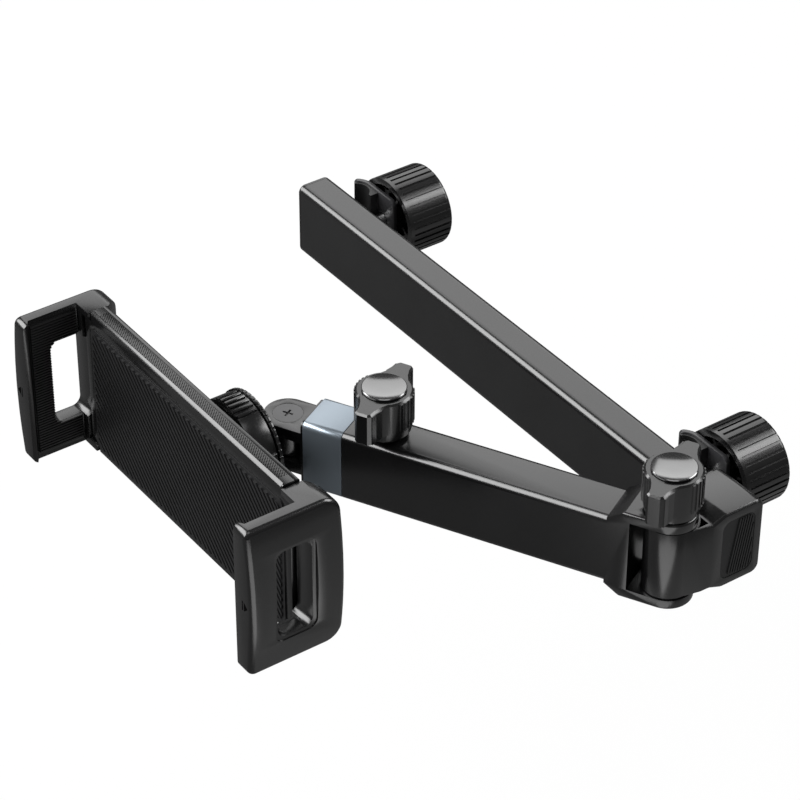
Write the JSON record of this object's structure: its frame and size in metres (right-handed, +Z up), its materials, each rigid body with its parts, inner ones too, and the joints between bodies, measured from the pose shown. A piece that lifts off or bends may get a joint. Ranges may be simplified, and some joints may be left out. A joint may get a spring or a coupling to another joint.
{
  "type": "headrest tablet mount",
  "caption": "Tablet mount for a car seat: a bar clamps to the headrest posts and a hinged sliding arm carries a spring-closed holder on a ball joint.",
  "frame": {"origin": "axis of the left headrest post at the middle height of the rear bar", "axes": "+X along the rear bar towards the hinge, +Y from the bar towards the seat, +Z up"},
  "size_m": [0.2243, 0.1712, 0.0602],
  "materials": {
    "black_plastic": "satin",
    "gloss_cap": "gloss",
    "nylon": "matte",
    "black_rubber": "matte",
    "blued_metal": "satin",
    "bright_steel": "brushed",
    "black_steel": "satin",
    "brass": "satin"
  },
  "bodies": {
    "bar": {"bar_tube": "black_plastic", "bar_end_cap": "black_plastic", "hinge_end_block": "black_plastic", "block_screws": "black_steel", "end_pad": "black_rubber"},
    "arm": {"arm_tube": "black_plastic", "hinge_bolt": "bright_steel", "friction_washers": "nylon", "top_washer": "bright_steel", "lock_insert": "brass"},
    "hinge_knob": {"hinge_knob": "black_plastic", "hinge_knob_cap": "gloss_cap", "hinge_knob_insert": "brass"},
    "lock_knob": {"lock_knob": "black_plastic", "lock_knob_cap": "gloss_cap", "lock_screw": "bright_steel"},
    "arm_end": {"inner_tube": "blued_metal", "guide_bush": "nylon", "arm_collar": "blued_metal", "fork_head": "black_plastic", "pivot_screw": "black_steel", "pivot_nut": "bright_steel"},
    "knuckle": {"knuckle": "black_plastic"},
    "ball_seat": {"ball_seat": "nylon"},
    "lock_disc": {"lock_disc": "black_plastic"},
    "holder": {"front_frame": "black_plastic", "back_cover": "black_plastic", "seat_ring": "nylon", "front_pad": "black_rubber", "cover_screws": "black_steel", "pinion_pin": "bright_steel", "return_spring": "bright_steel"},
    "ring_nut": {"ring_nut": "black_plastic"},
    "right_claw": {"right_claw": "black_plastic", "right_claw_pad": "black_rubber"},
    "left_claw": {"left_claw": "black_plastic", "left_claw_pad": "black_rubber"},
    "pinion": {"pinion": "nylon"},
    "left_clamp": {"left_slide_nut": "bright_steel", "left_stud": "bright_steel"},
    "left_jaw": {"left_jaw": "black_steel", "left_jaw_pad": "black_rubber"},
    "left_post_knob": {"left_post_knob": "black_plastic", "left_knob_insert": "brass"},
    "right_clamp": {"right_slide_nut": "bright_steel", "right_stud": "bright_steel"},
    "right_jaw": {"right_jaw": "black_steel", "right_jaw_pad": "black_rubber"},
    "right_post_knob": {"right_post_knob": "black_plastic", "right_knob_insert": "brass"}
  },
  "joints": [
    {"name": "arm_swing", "type": "hinge", "parent": "bar", "child": "arm", "pos_m": [0.2054, -0.0283, 0], "axis": [0, 0, 1], "range_deg": [-26, 150]},
    {"name": "hinge_knob_turn", "type": "hinge", "parent": "arm", "child": "hinge_knob", "pos_m": [0.2054, -0.0283, 0.0241], "axis": [0, 0, 1], "range_deg": [0, 360]},
    {"name": "lock_knob_turn", "type": "hinge", "parent": "arm", "child": "lock_knob", "pos_m": [0.12126, -0.07304, 0.022], "axis": [0, 0, 1], "range_deg": [0, 720]},
    {"name": "arm_extend", "type": "slide", "parent": "arm", "child": "arm_end", "axis": [-0.8829, -0.4695, 0], "range_m": [0, 0.055]},
    {"name": "knuckle_swing", "type": "hinge", "parent": "arm_end", "child": "knuckle", "pos_m": [0.0915, -0.08886, 0], "axis": [0, 0, -1], "range_deg": [-30, 80]},
    {"name": "ball_yaw", "type": "hinge", "parent": "knuckle", "child": "ball_seat", "pos_m": [0.0882, -0.10686, 0], "axis": [0, 0, 1], "range_deg": [-20, 6]},
    {"name": "ball_tilt", "type": "hinge", "parent": "ball_seat", "child": "lock_disc", "pos_m": [0.0882, -0.10686, 0], "axis": [1, 0, 0], "range_deg": [-15, 15]},
    {"name": "ball_roll", "type": "hinge", "parent": "lock_disc", "child": "holder", "pos_m": [0.0882, -0.10686, 0], "axis": [0, 1, 0], "continuous": true},
    {"name": "ring_nut_turn", "type": "hinge", "parent": "holder", "child": "ring_nut", "pos_m": [0.0882, -0.10686, 0], "axis": [0, 1, 0], "range_deg": [0, 270]},
    {"name": "right_claw_slide", "type": "slide", "parent": "holder", "child": "right_claw", "axis": [1, 0, 0], "range_m": [0, 0.0433], "stiffness_N_per_m": 180, "springref_m": -0.03},
    {"name": "left_claw_slide", "type": "slide", "parent": "holder", "child": "left_claw", "axis": [-1, 0, 0], "range_m": [-0.0001, 0.0434]},
    {"name": "pinion_turn", "type": "hinge", "parent": "holder", "child": "pinion", "pos_m": [0.0882, -0.12156, 0], "axis": [0, 1, 0], "range_deg": [-500, 2]},
    {"name": "left_clamp_slide", "type": "slide", "parent": "bar", "child": "left_clamp", "axis": [1, 0, 0], "range_m": [0, 0.07]},
    {"name": "left_jaw_slide", "type": "slide", "parent": "left_clamp", "child": "left_jaw", "axis": [0, 1, 0], "range_m": [-0.0041, 0.0041]},
    {"name": "left_knob_turn", "type": "hinge", "parent": "left_jaw", "child": "left_post_knob", "pos_m": [0.0082, 0.016, 0], "axis": [0, 1, 0], "range_deg": [-1800, 1800]},
    {"name": "right_clamp_slide", "type": "slide", "parent": "bar", "child": "right_clamp", "axis": [-1, 0, 0], "range_m": [0, 0.07]},
    {"name": "right_jaw_slide", "type": "slide", "parent": "right_clamp", "child": "right_jaw", "axis": [0, 1, 0], "range_m": [-0.0041, 0.0041]},
    {"name": "right_knob_turn", "type": "hinge", "parent": "right_jaw", "child": "right_post_knob", "pos_m": [0.1847, 0.016, 0], "axis": [0, 1, 0], "range_deg": [-1800, 1800]}
  ],
  "couplings": [
    {"joint": "left_claw_slide", "follows": "right_claw_slide", "ratio": 1},
    {"joint": "pinion_turn", "follows": "right_claw_slide", "rad_per_m": -200},
    {"joint": "left_jaw_slide", "follows": "left_knob_turn", "m_per_rad": 0.00012732},
    {"joint": "right_jaw_slide", "follows": "right_knob_turn", "m_per_rad": 0.00012732}
  ]
}
